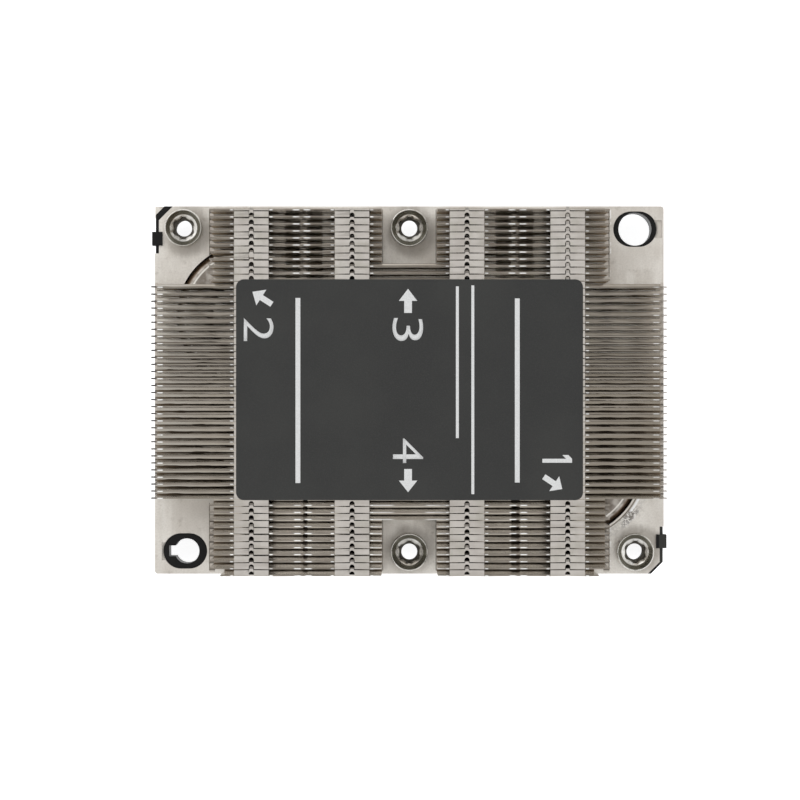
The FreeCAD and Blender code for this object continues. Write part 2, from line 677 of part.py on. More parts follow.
# Straps at 45 degrees round the corners, from each wall to the plate's long edge
def draw_strap(sketch, side, inner_cut, outer_cut):
    """Band between two cuts across a corner, side -1 rear left and side 1 front right."""
    end_x = f"({HALF_LENGTH} - {WALL_OUT})"
    corners = []
    for cut, reverse in ((inner_cut, False), (outer_cut, True)):
        on_wall = (f"{side} * {WALL_OUT}", f"{-side} * ({HALF_DEPTH} - {cut} + {end_x})")
        on_edge = (f"{side} * ({HALF_LENGTH} - {cut})", f"{-side} * {HALF_DEPTH}")
        corners += [on_edge, on_wall] if reverse else [on_wall, on_edge]
    draw_outline(sketch, corners)


LEDGE_CUT = "(Sizes.ledge_size - Sizes.clip_clearance * sqrt(2))"
CORNER_CUT = "(Sizes.corner_cut - Sizes.clip_clearance * sqrt(2))"
flat_strap = new_sketch(clip, "clip_flat_strap", f"{PLATE_TOP} - Sizes.ledge_depth")
draw_strap(flat_strap, -1, LEDGE_CUT, f"({LEDGE_CUT} - Sizes.strap_width * sqrt(2))")
pad(clip, flat_strap, "Sizes.ledge_depth")
thin_strap = new_sketch(clip, "clip_thin_strap", "-Sizes.clip_arm_drop")
draw_strap(thin_strap, 1, CORNER_CUT, f"({CORNER_CUT} - Sizes.strap_thin * sqrt(2))")
pad(clip, thin_strap, f"Sizes.clip_arm_drop + {PLATE_TOP}")

# Pads under the guide holes, with a ring that stands in each hole
guide_pads = new_sketch(clip, "clip_guide_pads", "-Sizes.clip_arm_drop")
for side in (-1, 1):
    draw_rectangle(guide_pads, f"{side} * ({FRAME_X} - Sizes.guide_pad_root)",
                   f"{side} * ({HALF_LENGTH} - Sizes.guide_pad_inset)",
                   f"{side} * ({FRAME_Y} - Sizes.guide_pad_root)",
                   f"{side} * ({HALF_DEPTH} - Sizes.guide_pad_inset)")
pad(clip, guide_pads, ARM_RISE)
rings = new_sketch(clip, "clip_rings", PLATE_BOTTOM)
RING_DEPTH = "(Sizes.guide_hole_depth - 2 * Sizes.clip_clearance)"
draw_obround(rings, RIGHT_GUIDE_X, GUIDE_Y,
             "(Sizes.right_guide_length - 2 * Sizes.clip_clearance)", RING_DEPTH)
draw_obround(rings, LEFT_GUIDE_X, f"-{GUIDE_Y}",
             "(Sizes.left_guide_length - 2 * Sizes.clip_clearance)", RING_DEPTH)
pad(clip, rings, "Sizes.plate_thickness")
guide_bores = new_sketch(clip, "clip_guide_bores", PLATE_TOP)
draw_circle(guide_bores, RIGHT_GUIDE_X, GUIDE_Y, "Sizes.right_guide_bore / 2")
LEFT_BORE_X = f"({LEFT_GUIDE_X} + Sizes.left_guide_shift)"
draw_circle(guide_bores, LEFT_BORE_X, f"-{GUIDE_Y}", "Sizes.left_guide_bore / 2")
drill(clip, guide_bores)
latch_slot = new_sketch(clip, "clip_latch_slot", PLATE_TOP)
draw_rectangle(latch_slot, f"{LEFT_BORE_X} - Sizes.left_guide_bore / 2 - Sizes.latch_slot_length",
               LEFT_BORE_X, f"-{GUIDE_Y} - Sizes.latch_slot_width / 2",
               f"-{GUIDE_Y} + Sizes.latch_slot_width / 2")
drill(clip, latch_slot)
pieces.append(clip)

doc.recompute()

# Every feature has to build, and every cut has to take material away
for item in doc.Objects:
    if "Invalid" in item.State or "Error" in item.State:
        raise RuntimeError(f"{item.Label} did not build")
    if item.TypeId == "PartDesign::Pocket":
        if item.Shape.Volume >= item.BaseFeature.Shape.Volume - TOUCH:
            raise RuntimeError(f"{item.Label} cuts nothing")
os.makedirs("parts", exist_ok=True)
for piece in pieces:
    if piece.Shape.isNull() or not piece.Shape.isValid():
        raise RuntimeError(f"{piece.Label} has no sound shape")
    piece.Shape.exportStep(f"parts/{piece.Label}.step")
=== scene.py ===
import math

import bmesh
import bpy
from mathutils import Matrix, Vector


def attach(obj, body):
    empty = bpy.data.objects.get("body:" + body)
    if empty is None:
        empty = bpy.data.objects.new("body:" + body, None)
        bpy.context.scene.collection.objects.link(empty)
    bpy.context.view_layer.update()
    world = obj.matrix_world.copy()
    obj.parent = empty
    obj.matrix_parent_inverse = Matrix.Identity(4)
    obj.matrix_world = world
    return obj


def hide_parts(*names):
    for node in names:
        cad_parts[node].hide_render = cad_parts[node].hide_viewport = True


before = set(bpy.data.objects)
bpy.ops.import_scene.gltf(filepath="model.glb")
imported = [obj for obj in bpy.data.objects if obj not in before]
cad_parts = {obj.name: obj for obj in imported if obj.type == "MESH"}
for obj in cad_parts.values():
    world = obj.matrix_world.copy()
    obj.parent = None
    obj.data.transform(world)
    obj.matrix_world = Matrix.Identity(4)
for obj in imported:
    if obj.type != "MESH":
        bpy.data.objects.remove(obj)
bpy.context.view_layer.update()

# ---------------------------------------------------------------------------------------------------
# Base plate: one slab of copper, sawn and milled to outline, with a raised pad underneath and two
# pipe grooves on top. It is nickel plated, which leaves a warm satin face with faint rolling streaks,
# and its edges are broken by hand.
MM = 0.001
PLATE_EDGE_BREAK = 0.22


def tone(red, green, blue):
    """A colour read off as 0 to 255, in the linear numbers that the shaders take."""
    channels = [c / 255 for c in (red, green, blue)]
    return tuple(c / 12.92 if c < 0.04045 else ((c + 0.055) / 1.055) ** 2.4 for c in channels) + (1.0,)


def put(tree, kind, inputs=None, **settings):
    """Adds a node: an input given as a socket is linked, and any other is its value."""
    node = tree.nodes.new(kind)
    for name, value in settings.items():
        setattr(node, name, value)
    for name, value in (inputs or {}).items():
        if isinstance(value, bpy.types.NodeSocket):
            tree.links.new(value, node.inputs[name])
        else:
            node.inputs[name].default_value = value
    return node.outputs


def calc(tree, operation, first, second=0.0, third=0.0):
    return put(tree, "ShaderNodeMath", {0: first, 1: second, 2: third}, operation=operation)[0]


def calc_all(tree, operation, first, *others):
    """The product, the greatest or the least of any number of values."""
    for other in others:
        first = calc(tree, operation, first, other)
    return first


def ramp(tree, value, low, high, out_low=0.0, out_high=1.0):
    """A clamped smooth step from out_low at low to out_high at high."""
    return put(tree, "ShaderNodeMapRange", {"Value": value, "From Min": low, "From Max": high,
                                            "To Min": out_low, "To Max": out_high},
               interpolation_type="SMOOTHSTEP")[0]


def blend_colour(tree, factor, first, second):
    return put(tree, "ShaderNodeMix", {0: factor, 6: first, 7: second}, data_type="RGBA")[2]


def noise(tree, vector, scale, detail=3.0, roughness=0.55):
    return put(tree, "ShaderNodeTexNoise", {"Vector": vector, "Scale": scale, "Detail": detail,
                                            "Roughness": roughness})[0]


def stretched(tree, vector, scale):
    return put(tree, "ShaderNodeMapping", {"Vector": vector, "Scale": scale})[0]


def new_effect(name, inputs, outputs):
    """An empty shader node group with named sockets, each (name, kind, default)."""
    tree = bpy.data.node_groups.new(name, "ShaderNodeTree")
    for socket_name, kind, value in inputs:
        socket = tree.interface.new_socket(socket_name, in_out="INPUT", socket_type=kind)
        if value is not None:
            socket.default_value = value
    for socket_name, kind in outputs:
        tree.interface.new_socket(socket_name, in_out="OUTPUT", socket_type=kind)
    return tree, tree.nodes.new("NodeGroupInput").outputs, tree.nodes.new("NodeGroupOutput").inputs


def use_effect(tree, effect, inputs):
    return put(tree, "ShaderNodeGroup", inputs, node_tree=effect)


# Rolling streaks: long faint lines in the metal, with broad cloudy patches under them.
streaks, given, shown = new_effect(
    "rolled_streaks",
    [("Vector", "NodeSocketVector", None), ("Streak Scale", "NodeSocketVector", (900, 40, 60)),
     ("Cloud Scale", "NodeSocketFloat", 90.0), ("Streak Depth", "NodeSocketFloat", 0.5)],
    [("Shade", "NodeSocketFloat"), ("Height", "NodeSocketFloat")])
lines = noise(streaks, put(streaks, "ShaderNodeVectorMath", {0: given["Vector"], 1: given["Streak Scale"]},
                           operation="MULTIPLY")[0], 1.0, 4.0, 0.6)
clouds = noise(streaks, given["Vector"], given["Cloud Scale"], 3.0, 0.5)
mixed = calc(streaks, "ADD", calc(streaks, "MULTIPLY", lines, given["Streak Depth"]),
             calc(streaks, "MULTIPLY", clouds, calc(streaks, "SUBTRACT", 1.0, given["Streak Depth"])))
streaks.links.new(mixed, shown["Shade"])
streaks.links.new(lines, shown["Height"])


def new_material(name, metallic, roughness):
    material = bpy.data.materials.new(name)
    material.use_nodes = True
    tree = material.node_tree
    shader = tree.nodes["Principled BSDF"]
    shader.inputs["Metallic"].default_value = metallic
    shader.inputs["Roughness"].default_value = roughness
    place = put(tree, "ShaderNodeTexCoord")["Object"]
    return material, tree, shader, place


def bump(tree, shader, height, strength, distance):
    relief = put(tree, "ShaderNodeBump", {"Height": height, "Strength": strength, "Distance": distance})
    tree.links.new(relief[0], shader.inputs["Normal"])


def finished_piece(name, mesh, material, body="heatsink", replaces=(), smooth_angle=None):
    """Puts a mesh into the scene as a piece that rides on its body and stands for its CAD nodes."""
    mesh.name = name
    mesh.materials.clear()
    mesh.materials.append(material)
    if smooth_angle is not None:
        mesh.shade_smooth()
        mesh.set_sharp_from_angle(angle=math.radians(smooth_angle))
    piece = bpy.data.objects.new(name, mesh)
    bpy.context.scene.collection.objects.link(piece)
    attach(piece, body)
    if replaces:
        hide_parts(*replaces)
    return piece


def edge_broken_copy(node, width):
    """A merged copy of a CAD node's mesh with its sharp edges rounded over."""
    bm = bmesh.new()
    bm.from_mesh(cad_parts[node].data)
    bmesh.ops.remove_doubles(bm, verts=bm.verts, dist=1e-6)
    bmesh.ops.dissolve_limit(bm, angle_limit=math.radians(1), verts=bm.verts, edges=bm.edges)
    sharp = [e for e in bm.edges if len(e.link_faces) == 2 and e.calc_face_angle() > math.radians(30)]
    bmesh.ops.bevel(bm, geom=sharp, offset=width * MM, offset_type="OFFSET", segments=2, profile=0.5,
                    affect="EDGES", clamp_overlap=True, material=-1)
    mesh = bpy.data.meshes.new(node)
    bm.to_mesh(mesh)
    bm.free()
    return mesh


PITCH = 1.45698
PITCHES_TO_A_WEB = 40.5
PLATE_TOP = 5.0
NUTS = {"rear_left": (-47.75, 34.25), "rear": (0.0, 34.25), "front": (0.0, -34.25),
        "front_right": (47.75, -34.25)}
RIGHT_BEND = (33.9, -15.6)
SPILL_HEART = (47.3, -27.4)


def in_millimetres(tree, place):
    """The place as a vector in millimetres, and its three parts: across, rearward and upward."""
    scaled = put(tree, "ShaderNodeVectorMath", {0: place, 3: 1000.0}, operation="SCALE")[0]
    axes = put(tree, "ShaderNodeSeparateXYZ", {0: scaled})
    return scaled, axes["X"], axes["Y"], axes["Z"]


def between(tree, value, low, high, soft):
    """A mask that is 1 from low to high, with soft edges."""
    return calc(tree, "MULTIPLY", ramp(tree, value, low - soft, low + soft),
                ramp(tree, value, high + soft, high - soft))


def gap_to(tree, scaled, spot):
    return put(tree, "ShaderNodeVectorMath", {0: scaled, 1: spot}, operation="DISTANCE")["Value"]


def gap_to_nearest(tree, scaled, spots):
    return calc_all(tree, "MINIMUM", *[gap_to(tree, scaled, spot) for spot in spots])


def share_of_pitch(tree, rearward):
    """How far along its pitch a point lies, from the front face of one web to that of the next behind."""
    return calc(tree, "FRACT", calc(tree, "DIVIDE", calc(tree, "ADD", rearward, PITCH * PITCHES_TO_A_WEB), PITCH))


def stained(tree, colour, mask, strength, stain):
    return blend_colour(tree, calc(tree, "MULTIPLY", mask, strength), colour, stain)


plating, tree, shader, place = new_material("nickel_plating", 0.9, 0.4)
scaled, across, rearward, upward = in_millimetres(tree, place)
grain = use_effect(tree, streaks, {"Vector": place, "Streak Scale": (900, 130, 70), "Cloud Scale": 70.0,
                                   "Streak Depth": 0.2})
worn = ramp(tree, grain["Shade"], 0.35, 0.65)
plate_colour = blend_colour(tree, worn, tone(214, 207, 197), tone(238, 233, 224))
speckle = ramp(tree, noise(tree, place, 2600, 3.0, 0.7), 0.35, 0.7)
plate_colour = stained(tree, plate_colour, speckle, 0.25, tone(184, 176, 164))
stains = ramp(tree, noise(tree, place, 420, 5.0, 0.65), 0.56, 0.74)
plate_colour = stained(tree, plate_colour, stains, 0.35, tone(150, 140, 126))
plain_colour = plate_colour
aside = calc(tree, "ABSOLUTE", across)
fore_aft = calc(tree, "ABSOLUTE", rearward)
# Painted shade darkens the plating round each nut, most on its right and inner side.
near_nut = gap_to_nearest(tree, scaled, [(x + 0.6, y * 0.985, PLATE_TOP) for x, y in NUTS.values()])
nut_shade = ramp(tree, calc(tree, "ADD", near_nut, ramp(tree, grain["Shade"], 0.3, 0.7, -0.8, 0.8)), 6.2, 4.0)
plate_colour = stained(tree, plate_colour, nut_shade, 0.4, tone(120, 112, 101))
# Past the ends of the fins the plate is painted in stripes in the lines of their roots.
in_pitch = share_of_pitch(tree, rearward)
past_short = calc_all(tree, "MULTIPLY", between(tree, aside, 41.2, 42.4, 0.1), ramp(tree, fore_aft, 26.0, 27.0),
                      ramp(tree, fore_aft, 38.7, 38.5))
past_long = calc(tree, "MULTIPLY", ramp(tree, aside, 53.2, 53.4), ramp(tree, fore_aft, 22.9, 22.7))
past_ends = calc(tree, "MAXIMUM", past_short, past_long)
past_end_stripes = blend_colour(tree, between(tree, in_pitch, 0.24, 0.5, 0.06), tone(196, 187, 176), tone(72, 62, 50))
plate_colour = stained(tree, plate_colour, past_ends, 0.85, past_end_stripes)
# Under the rear bays the plate is painted in shade in the slot between each foot and the next web.
slot_shade = calc_all(tree, "MULTIPLY", between(tree, in_pitch, 0.82, 0.99, 0.02),
                     between(tree, aside, 18.3, 26.4, 0.4), between(tree, rearward, 22.5, 37.6, 0.2))
plate_colour = stained(tree, plate_colour, slot_shade, 0.8, tone(120, 106, 86))
# Beside the blocks of short fins painted shadows of the fins' ends lie in thin lines, and beside the outer right
# one lies a painted highlight.
beside_blocks = between(tree, fore_aft, 24.0, 38.3, 0.2)
outer_end_shadow = calc(tree, "MULTIPLY", between(tree, aside, 42.3, 42.5, 0.08), beside_blocks)
plate_colour = stained(tree, plate_colour, outer_end_shadow, 0.8, tone(84, 74, 62))
inner_end_shadow = calc(tree, "MULTIPLY", between(tree, aside, 5.58, 5.8, 0.08), beside_blocks)
plate_colour = stained(tree, plate_colour, inner_end_shadow, 0.7, tone(96, 86, 74))
right_end_highlight = calc_all(tree, "MULTIPLY", between(tree, across, 42.62, 42.85, 0.06), beside_blocks,
                      ramp(tree, noise(tree, place, 700), 0.48, 0.6))
plate_colour = stained(tree, plate_colour, right_end_highlight, 0.8, tone(255, 253, 248))
# The right pipe's solder has spilt over its groove and cooled bumpy and pitted.
on_face = ramp(tree, upward, PLATE_TOP - 0.5, PLATE_TOP - 0.2)
off_right_bend = gap_to(tree, scaled, (*RIGHT_BEND, PLATE_TOP))
blobs = noise(tree, place, 1900, 4.0, 0.7)
ragged = calc(tree, "ADD", off_right_bend, calc(tree, "MULTIPLY", blobs, 1.6))
spill = calc_all(tree, "MULTIPLY", between(tree, ragged, 16.9, 18.9, 0.3), ramp(tree, rearward, -21.0, -22.0),
                 ramp(tree, gap_to(tree, scaled, (*SPILL_HEART, PLATE_TOP)), 3.2, 1.4, 0.22, 1.0), on_face)
# A painted highlight lies along the solder bead beyond the right groove.
bead_highlight = calc(tree, "MULTIPLY", between(tree, off_right_bend, 16.35, 16.8, 0.1),
            between(tree, rearward, -25.8, -23.0, 0.3))
pitted = calc(tree, "MULTIPLY", spill, ramp(tree, blobs, 0.46, 0.54))
# Painted shade lies in the gap at the rim of the right groove.
groove_gap_shade = between(tree, off_right_bend, 15.9, 16.15, 0.12)
plate_colour = stained(tree, plate_colour, spill, 0.6, tone(236, 233, 228))
plate_colour = stained(tree, plate_colour, pitted, 0.75, tone(84, 74, 62))
plate_colour = blend_colour(tree, groove_gap_shade, plate_colour, tone(120, 110, 97))
plate_colour = blend_colour(tree, bead_highlight, plate_colour, tone(255, 254, 252))
# All the marks from the painted shade round the nuts on lie on the top face only.
plate_colour = blend_colour(tree, on_face, plain_colour, plate_colour)
tree.links.new(plate_colour, shader.inputs["Base Color"])
tree.links.new(ramp(tree, grain["Shade"], 0.3, 0.7, 0.46, 0.34), shader.inputs["Roughness"])
relief = calc(tree, "ADD", calc_all(tree, "MULTIPLY", spill, blobs, 8.0),
              calc(tree, "ADD", speckle, grain["Height"]))
bump(tree, shader, relief, 0.16, 0.00003)
finished_piece("plate", edge_broken_copy("base_plate", PLATE_EDGE_BREAK), plating,
               replaces=["base_plate"], smooth_angle=20)

# ---------------------------------------------------------------------------------------------------
# Heat pipes: two round copper pipes, bent to a hairpin and pressed flat, so that each has a flat top
# and full round flanks. They are laid in the plate's grooves, soldered, and plated over with it.
PIPE_HALF_WIDTH = 3.8
PIPE_LOW = 1.8
PIPE_HIGH = PLATE_TOP
PIPE_BEND_RADIUS = 11.6
PIPE_BEND_CENTRE = (-RIGHT_BEND[0], -RIGHT_BEND[1])
PIPE_INNER_TIP = 30.0
PIPE_OUTER_TIP = -9.0
PIPE_HIGHLIGHT_RADIUS = 13.7


def edges_of(step):
    return [g for g in step["geom"] if isinstance(g, bmesh.types.BMEdge)]


def points_of(step):
    return [g for g in step["geom"] if isinstance(g, bmesh.types.BMVert)]


def mesh_in_metres(bm, name):
    """Ends a bmesh that was drawn in millimetres, and gives it as a mesh."""
    bmesh.ops.scale(bm, verts=bm.verts, vec=(MM, MM, MM))
    mesh = bpy.data.meshes.new(name)
    bm.to_mesh(mesh)
    bm.free()
    return mesh


def flattened_pipe(side):
    """One hairpin: the left one bends behind, and the right one is the same pipe turned half round."""
    bm = bmesh.new()
    flank = (PIPE_HIGH - PIPE_LOW) / 2
    bmesh.ops.create_circle(bm, cap_ends=False, segments=28, radius=flank)
    for corner in bm.verts:
        corner.co.x += math.copysign(PIPE_HALF_WIDTH - flank, corner.co.x)
    # The section stands upright, across the pipe's own line, at the end of the bend that lies outside.
    bmesh.ops.rotate(bm, verts=bm.verts, cent=(0, 0, 0), matrix=Matrix.Rotation(math.pi / 2, 3, "X"))
    bmesh.ops.rotate(bm, verts=bm.verts, cent=(0, 0, 0), matrix=Matrix.Rotation(math.pi / 2, 3, "Z"))
    middle = (PIPE_HIGH + PIPE_LOW) / 2
    bend = Vector((*PIPE_BEND_CENTRE, middle))
    bmesh.ops.translate(bm, verts=bm.verts, vec=bend + Vector((0, PIPE_BEND_RADIUS, 0)))
    first_ring = list(bm.edges)
    result = bmesh.ops.spin(bm, geom=first_ring + list(bm.verts), cent=bend, axis=(0, 0, 1), angle=math.pi,
                            steps=24, use_merge=False)
    last_ring = [g for g in result["geom_last"] if isinstance(g, bmesh.types.BMEdge)]
    for ring, tip in ((first_ring, PIPE_OUTER_TIP), (last_ring, PIPE_INNER_TIP)):
        for reach, shrink in ((tip - PIPE_BEND_CENTRE[0] - 2.5, 1.0), (1.2, 0.9), (0.9, 0.68), (0.4, 0.35)):
            step = bmesh.ops.extrude_edge_only(bm, edges=ring)
            ring, moved = edges_of(step), points_of(step)
            bmesh.ops.translate(bm, verts=moved, vec=(reach, 0, 0))
            centre = sum((v.co for v in moved), Vector()) / len(moved)
            bmesh.ops.scale(bm, verts=moved, vec=(1, shrink, shrink ** 0.5), space=Matrix.Translation(-centre))
        bmesh.ops.holes_fill(bm, edges=ring, sides=0)
    bmesh.ops.remove_doubles(bm, verts=bm.verts, dist=0.001)
    if side == "right":
        bmesh.ops.rotate(bm, verts=bm.verts, cent=(0, 0, 0), matrix=Matrix.Rotation(math.pi, 3, "Z"))
    bmesh.ops.recalc_face_normals(bm, faces=bm.faces)
    return mesh_in_metres(bm, "heat_pipe")


def in_plan(tree, scaled):
    """The same place, seen from straight above."""
    return put(tree, "ShaderNodeVectorMath", {0: scaled, 1: (1, 1, 0)}, operation="MULTIPLY")[0]


def gap_from(tree, value, middle):
    return calc(tree, "ABSOLUTE", calc(tree, "SUBTRACT", value, middle))


pipe_skin, tree, shader, place = new_material("pipe_plating", 0.9, 0.34)
dents = noise(tree, place, 420, 4.0, 0.6)
pipe_colour = blend_colour(tree, ramp(tree, dents, 0.35, 0.65), tone(140, 131, 121), tone(190, 183, 174))
# The outer flank is painted brown as shade where it meets the groove, and a painted highlight runs along the flat
# on one line of the bend.
level = in_plan(tree, in_millimetres(tree, place)[0])
from_bend = gap_to_nearest(tree, level, [(*PIPE_BEND_CENTRE, 0.0), (*RIGHT_BEND, 0.0)])
off_highlight_line = gap_from(tree, from_bend, PIPE_HIGHLIGHT_RADIUS)
pipe_colour = blend_colour(tree, ramp(tree, from_bend, 14.3, 14.6), pipe_colour, tone(128, 110, 92))
pipe_colour = blend_colour(tree, ramp(tree, off_highlight_line, 0.22, 0.12), pipe_colour, tone(232, 227, 218))
tree.links.new(pipe_colour, shader.inputs["Base Color"])
tree.links.new(ramp(tree, dents, 0.3, 0.7, 0.42, 0.28), shader.inputs["Roughness"])
bump(tree, shader, dents, 0.5, 0.00008)
for side in ("left", "right"):
    finished_piece(f"pipe_{side}", flattened_pipe(side), pipe_skin,
                   replaces=[f"heat_pipe_{side}"], smooth_angle=40)

# ---------------------------------------------------------------------------------------------------
# Fins: thin aluminium sheet, stamped flat and folded. The foot is soldered to the plate, the web stands
# up, and along the top each tab's tongue hooks into the D-shaped hole of the fin behind, like a zip.
ROWS = 53
SHEET = 0.3
FIN_TOP = 25.5
TAB_HALF = 3.575
HOLE_HALF = 0.525
HOLE_STRAIGHT = 0.33
HOLE_CUT = 0.6
TAB_REACH = 1.1
TONGUE_REACH = 0.26
LONG_TONGUE_REACH = 0.7
TONGUE_DIP = 0.3
FOOT_REACH = 1.2
FOLD_RADIUS = 0.17
COLUMNS = (-32.75, -11.9, 11.9, 32.75)
LONG_END = 53.5
LONG_RIGHT_END = 53.3
LONG_ROWS = range(11, 42)
MEDIUM_END = 41.5
MEDIUM_ROWS = {"rear": range(8, 11), "front": range(42, 45)}
SHORT_INNER_END = 5.8
SHORT_ROWS = {"rear": range(0, 8), "front": range(45, ROWS)}
LAST_ROW_END = 39.2


def folded_fin(row, x_low, x_high, tabs=True, sway=0.03):
    """One fin of a row, counted from the rear, as a sheet without thickness."""
    bm = bmesh.new()
    height = FIN_TOP - PLATE_TOP - SHEET
    bmesh.ops.create_grid(bm, x_segments=1, y_segments=1, size=0.5)
    bmesh.ops.scale(bm, verts=bm.verts, vec=(x_high - x_low, height, 1))
    bmesh.ops.translate(bm, verts=bm.verts, vec=((x_low + x_high) / 2, height / 2, 0))
    inside = [c for c in COLUMNS if x_low < c < x_high]
    cuts = [c + s * w for c in inside for w in (HOLE_HALF, TAB_HALF) for s in (-1, 1)]
    cuts += [c for c in range(int(x_low) + 1, int(x_high), 3) if all(abs(c - k) > 1.2 for k in cuts)]
    for cut in cuts:
        bmesh.ops.bisect_plane(bm, geom=bm.verts[:] + bm.edges[:] + bm.faces[:], dist=1e-5,
                               plane_co=(cut, 0, 0), plane_no=(1, 0, 0))
    for level in (height * 0.5, height - HOLE_CUT):
        bmesh.ops.bisect_plane(bm, geom=bm.verts[:] + bm.edges[:] + bm.faces[:], dist=1e-5,
                               plane_co=(0, level, 0), plane_no=(0, 1, 0))
    cut_out = [f for f in bm.faces if f.calc_center_median().y > height - HOLE_CUT
               and any(abs(f.calc_center_median().x - c) < HOLE_HALF for c in inside)]
    bmesh.ops.delete(bm, geom=cut_out, context="FACES")
    if tabs:
        lip = [e for e in bm.edges if min(v.co.y for v in e.verts) > height - 1e-4
               and any(HOLE_HALF < abs((e.verts[0].co.x + e.verts[1].co.x) / 2 - c) < TAB_HALF for c in inside)]
        for reach in (HOLE_STRAIGHT, TAB_REACH - HOLE_STRAIGHT):
            step = bmesh.ops.extrude_edge_only(bm, edges=lip)
            lip = edges_of(step)
            bmesh.ops.translate(bm, verts=points_of(step), vec=(0, reach, 0))
        for centre in inside:
            dome = bmesh.ops.create_circle(bm, cap_ends=False, segments=12, radius=HOLE_HALF,
                                           matrix=Matrix.Translation((centre, height + HOLE_STRAIGHT, 0)))["verts"]
            low = [v for v in dome if v.co.y < height + HOLE_STRAIGHT - 1e-4]
            dome = [v for v in dome if v not in low]
            bmesh.ops.delete(bm, geom=low, context="VERTS")
            arch = list({e for v in dome for e in v.link_edges})
            step = bmesh.ops.extrude_edge_only(bm, edges=arch)
            for corner in points_of(step):
                corner.co.y = height + TAB_REACH
            middle = [e for e in edges_of(step) if abs((e.verts[0].co.x + e.verts[1].co.x) / 2 - centre) < 0.4]
            step = bmesh.ops.extrude_edge_only(bm, edges=middle)
            bmesh.ops.translate(bm, verts=points_of(step), vec=(0, TONGUE_REACH, 0))
            bmesh.ops.scale(bm, verts=points_of(step), vec=(0.78, 1, 1),
                            space=Matrix.Translation((-centre, 0, 0)))
            # Many tongues are longer, and dip into the hole that they hook.
            longer = 0.24 + 0.2 * math.sin(row * 2.1 + centre)
            if row < 12 and centre == COLUMNS[3]:
                longer = LONG_TONGUE_REACH
            if longer > 0.12:
                step = bmesh.ops.extrude_edge_only(bm, edges=edges_of(step))
                bmesh.ops.translate(bm, verts=points_of(step), vec=(0, longer, -TONGUE_DIP))
    foot = [e for e in bm.edges if max(v.co.y for v in e.verts) < 1e-4]
    step = bmesh.ops.extrude_edge_only(bm, edges=foot)
    bmesh.ops.translate(bm, verts=points_of(step), vec=(0, -FOOT_REACH, 0))
    bmesh.ops.remove_doubles(bm, verts=bm.verts, dist=0.002)
    # The flat blank is stood up, and then its tabs and its foot are folded to the rear.
    bmesh.ops.rotate(bm, verts=bm.verts, cent=(0, 0, 0), matrix=Matrix.Rotation(math.pi / 2, 3, "X"))
    bmesh.ops.rotate(bm, verts=[v for v in bm.verts if v.co.z > height + 1e-3], cent=(0, 0, height),
                     matrix=Matrix.Rotation(-math.pi / 2, 3, "X"))
    bmesh.ops.rotate(bm, verts=[v for v in bm.verts if v.co.z < -1e-3], cent=(0, 0, 0),
                     matrix=Matrix.Rotation(math.pi / 2, 3, "X"))
    folds = [e for e in bm.edges if len(e.link_faces) == 2 and e.calc_face_angle() > 1.0]
    bmesh.ops.bevel(bm, geom=folds, offset=FOLD_RADIUS, offset_type="OFFSET", segments=2, profile=0.5,
                    affect="EDGES", clamp_overlap=True, material=-1)
    for corner in bm.verts:
        free = min((abs(corner.co.x - c) for c in COLUMNS), default=9) - TAB_HALF
        if free > 0.4:
            swing = math.sin(corner.co.x * 0.55 + row * 1.7) + 0.6 * math.sin(corner.co.x * 1.3 + row * 2.9)
            corner.co.y += sway * swing * math.sin(corner.co.z / height * 2.6)
    bmesh.ops.dissolve_degenerate(bm, dist=0.02, edges=bm.edges)
    bmesh.ops.recalc_face_normals(bm, faces=bm.faces)
    front = PITCH * (ROWS / 2 - row - 1)
    bmesh.ops.translate(bm, verts=bm.verts, vec=(0, front + SHEET / 2, PLATE_TOP + SHEET / 2))
    return mesh_in_metres(bm, "fin")


def with_sheet_thickness(piece):
    wall = piece.modifiers.new("sheet", "SOLIDIFY")
    wall.thickness = SHEET * MM
    wall.offset = 0
    wall.use_even_offset = True


BAY_MIDDLE = 22.35
COLUMN_MIDDLE = (COLUMNS[3] + COLUMNS[2]) / 2
COLUMN_SPREAD = (COLUMNS[3] - COLUMNS[2]) / 2
WEB_SHADE_HEIGHT = 13.5
WEB_SHADE_STRETCH = 23.0
# The scales of noise that differs from row to row, by how fast it changes along a row.
ROW_NOISE = 690
SLOW, STEADY, QUICK, QUICKEST = ((scale, ROW_NOISE, 1) for scale in (60, 150, 300, 330))


def blend_number(tree, factor, first, second):
    return put(tree, "ShaderNodeMix", {0: factor, 2: first, 3: second}, data_type="FLOAT")[0]


fin_skin, tree, shader, place = new_material("fin_aluminium", 1.0, 0.4)
across, rearward, upward = in_millimetres(tree, place)[1:]
aside = calc(tree, "ABSOLUTE", across)
lean = calc(tree, "MULTIPLY", ramp(tree, across, -1.0, 1.0, -0.28, 0.18), ramp(tree, rearward, 10.0, -10.0))
off_middle = gap_from(tree, calc(tree, "SUBTRACT", aside, lean), BAY_MIDDLE)
off_column = gap_from(tree, gap_from(tree, aside, COLUMN_MIDDLE), COLUMN_SPREAD)
in_pitch = share_of_pitch(tree, rearward)
from_front = calc(tree, "MULTIPLY", in_pitch, PITCH)
grain = use_effect(tree, streaks, {"Vector": place, "Streak Scale": (60, 900, 300), "Cloud Scale": 240.0,
                                   "Streak Depth": 0.5})
shade = ramp(tree, grain["Shade"], 0.3, 0.7)
wander = noise(tree, stretched(tree, place, QUICKEST), 1.0, 4.0, 0.65)
web_colour = blend_colour(tree, shade, tone(206, 199, 190), tone(224, 219, 211))
